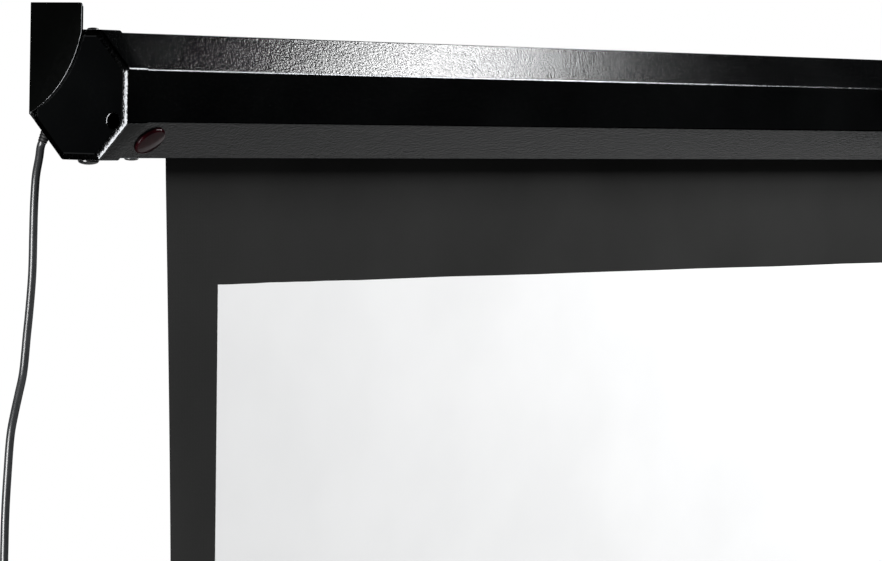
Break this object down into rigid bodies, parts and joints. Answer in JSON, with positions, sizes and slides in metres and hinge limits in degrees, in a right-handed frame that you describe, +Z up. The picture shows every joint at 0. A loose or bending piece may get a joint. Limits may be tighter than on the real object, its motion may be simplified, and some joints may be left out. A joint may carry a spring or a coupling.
{
  "type": "projector screen",
  "caption": "Motor-driven wall projection screen: black octagonal case on wall brackets, white matte screen with dark border on a roller, weight bar and power cord.",
  "frame": {"origin": "on the wall, in the middle of the rear face of the left wall bracket's flange", "axes": "+X along the case towards its right end as the viewer sees it, +Y from the screen into the wall, +Z up"},
  "size_m": [2.2099, 0.095, 1.3478],
  "materials": {
    "sand_coat": "black powder coat with a fine sand texture that sparkles, semi-gloss",
    "smooth_coat": "smooth black powder coat, satin",
    "black_screw": "glossy black lacquered screw heads",
    "zinc_steel": "zinc-plated steel",
    "aluminium": "plain drawn aluminium",
    "black_aluminium": "extruded aluminium with a satin black coat",
    "border_cloth": "matte dark charcoal coated cloth with a faint weave",
    "picture_cloth": "matte white projection surface",
    "black_plastic": "moulded black plastic",
    "white_plastic": "moulded natural white nylon",
    "red_lens": "glossy dark red infrared window",
    "circuit_board": "green solder mask",
    "cord_sheath": "dark grey to black flexible sheath, satin",
    "brass_pins": "plain brass plug pins"
  },
  "bodies": {
    "case": {"case_shell": "sand_coat", "left_end_cap": "sand_coat", "right_end_cap": "sand_coat", "left_wall_bracket": "smooth_coat", "right_wall_bracket": "smooth_coat", "left_cap_top_screw": "black_screw", "left_cap_lower_screw": "black_screw", "right_cap_top_screw": "black_screw", "right_cap_lower_screw": "black_screw", "motor_support_screw": "black_screw", "idler_support_screw": "black_screw", "left_bracket_nut_upper": "zinc_steel", "left_bracket_nut_lower": "zinc_steel", "right_bracket_nut_upper": "zinc_steel", "right_bracket_nut_lower": "zinc_steel", "motor_support": "zinc_steel", "idler_support": "zinc_steel", "motor_tube": "zinc_steel", "idler_bearing": "white_plastic", "ir_lens": "red_lens", "ir_lens_nut": "black_plastic", "motor_head": "black_plastic", "ir_sensor": "black_plastic", "control_box": "black_plastic", "control_box_lid": "black_plastic", "relay_up": "black_plastic", "relay_down": "black_plastic", "strain_relief": "black_plastic", "cord_tie": "black_plastic", "screen_border": "border_cloth", "picture_surface": "picture_cloth", "receiver_board": "circuit_board", "control_board": "circuit_board", "motor_lead": "cord_sheath", "receiver_lead": "cord_sheath", "power_cord": "cord_sheath", "cord_coil": "cord_sheath", "plug_body": "cord_sheath", "plug_blade_left": "brass_pins", "plug_blade_right": "brass_pins", "plug_earth_pin": "brass_pins"},
    "roller": {"roller_tube": "aluminium", "cloth_wrap": "border_cloth", "crown_ring": "white_plastic", "drive_wheel": "black_plastic", "drive_shaft": "zinc_steel", "idler_plug": "black_plastic", "idler_pin": "zinc_steel"},
    "weight_bar": {"weight_bar": "black_aluminium", "hem_rod": "white_plastic", "left_bar_cap": "black_plastic", "right_bar_cap": "black_plastic"},
    "limit_up": {"limit_screw_up": "white_plastic"},
    "limit_down": {"limit_screw_down": "white_plastic"}
  },
  "joints": [
    {"name": "weight_bar_slide", "type": "slide", "parent": "case", "child": "weight_bar", "axis": [0, 0, 1], "range_m": [0, 1.2192], "deforming": ["screen_border", "picture_surface"]},
    {"name": "roller_turn", "type": "hinge", "parent": "case", "child": "roller", "pos_m": [1, -0.0645, -0.02585], "axis": [1, 0, 0], "range_deg": [0, 3116]},
    {"name": "limit_up_turn", "type": "hinge", "parent": "case", "child": "limit_up", "pos_m": [0.0523, -0.08423, -0.03962], "axis": [1, 0, 0], "continuous": true},
    {"name": "limit_down_turn", "type": "hinge", "parent": "case", "child": "limit_down", "pos_m": [0.0523, -0.07857, -0.04528], "axis": [1, 0, 0], "continuous": true}
  ],
  "couplings": [
    {"joint": "roller_turn", "follows": "weight_bar_slide", "rad_per_m": 44.6}
  ]
}
